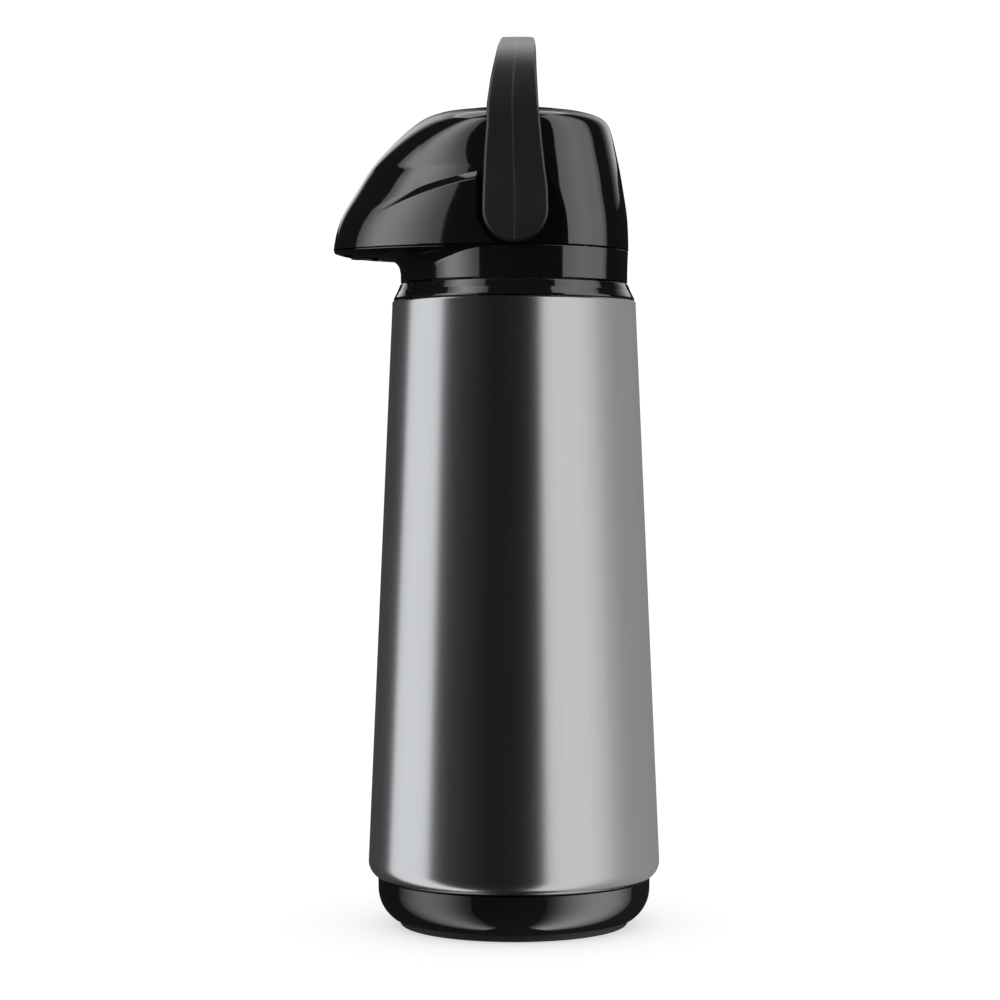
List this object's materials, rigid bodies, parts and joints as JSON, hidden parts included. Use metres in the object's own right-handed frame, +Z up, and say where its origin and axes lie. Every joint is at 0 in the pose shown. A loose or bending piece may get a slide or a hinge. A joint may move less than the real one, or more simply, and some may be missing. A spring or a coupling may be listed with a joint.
{
  "type": "thermal coffee airpot",
  "caption": "Tall tapered insulated flask with a push-button pump head, a forward spout hood and a swinging bail handle.",
  "frame": {"origin": "centre of the foot's bottom face, on the vessel's axis", "axes": "+Z up along the vessel's axis; the spout points along -X; the handle's pivot line is parallel to Y"},
  "size_m": [0.1349, 0.1208, 0.3649],
  "materials": {
    "shell_steel": "brushed along its height, satin",
    "black_gloss": "polished",
    "black_satin": "satin",
    "black_rubber": "matt",
    "grey_plastic": "satin",
    "white_plastic": "satin",
    "silicone": "satin",
    "silvered_glass": "polished, silvered inside the vacuum",
    "bright_steel": "bright"
  },
  "bodies": {
    "vessel": {"outer_shell": "shell_steel", "foot_ring": "black_rubber", "base_cup": "black_gloss", "shell_base_insert": "grey_plastic", "neck_ring": "black_gloss", "glass_liner": "silvered_glass", "liner_spacers": "grey_plastic", "liner_cushion": "black_rubber", "mouth_gasket": "silicone", "centering_ring": "grey_plastic"},
    "head_seal": {"head_gasket": "silicone"},
    "head": {"head_base": "black_gloss", "head_cover": "black_gloss", "head_stopper": "white_plastic", "stopper_screws": "bright_steel", "cover_screws": "bright_steel", "dip_tube": "white_plastic", "valve_cage": "white_plastic", "pour_pipe": "white_plastic", "nozzle_tip": "black_rubber", "pump_deck": "white_plastic", "deck_screws": "bright_steel", "air_valve": "silicone", "bellows": "silicone", "return_spring": "bright_steel"},
    "bellows_plate": {"bellows_plate": "white_plastic"},
    "press_pad": {"press_pad": "black_gloss", "vent_seal": "silicone"},
    "tip_ball": {"valve_ball": "bright_steel"},
    "handle": {"handle": "black_satin", "pivot_washers": "bright_steel", "pivot_screws": "bright_steel"}
  },
  "joints": [
    {"name": "head_lift", "type": "slide", "parent": "vessel", "child": "head_seal", "axis": [0, 0, 1], "range_m": [0, 0.24]},
    {"name": "head_unscrew", "type": "hinge", "parent": "head_seal", "child": "head", "pos_m": [0, 0, 0.265], "axis": [0, 0, 1], "range_deg": [0, 90]},
    {"name": "pad_press", "type": "slide", "parent": "head", "child": "press_pad", "axis": [0, 0, -1], "range_m": [0, 0.0195], "stiffness_N_per_m": 600, "springref_m": -0.01},
    {"name": "plate_press", "type": "slide", "parent": "head", "child": "bellows_plate", "axis": [0, 0, -1], "range_m": [0, 0.018], "deforming": ["bellows", "return_spring"]},
    {"name": "ball_lift", "type": "slide", "parent": "head", "child": "tip_ball", "axis": [0, 0, 1], "range_m": [0, 0.003]},
    {"name": "handle_swing", "type": "hinge", "parent": "head", "child": "handle", "pos_m": [0, 0, 0.2925], "axis": [0, 1, 0], "range_deg": [0, 90]}
  ],
  "couplings": [
    {"joint": "plate_press", "follows": "pad_press", "ratio": 0.92308}
  ]
}
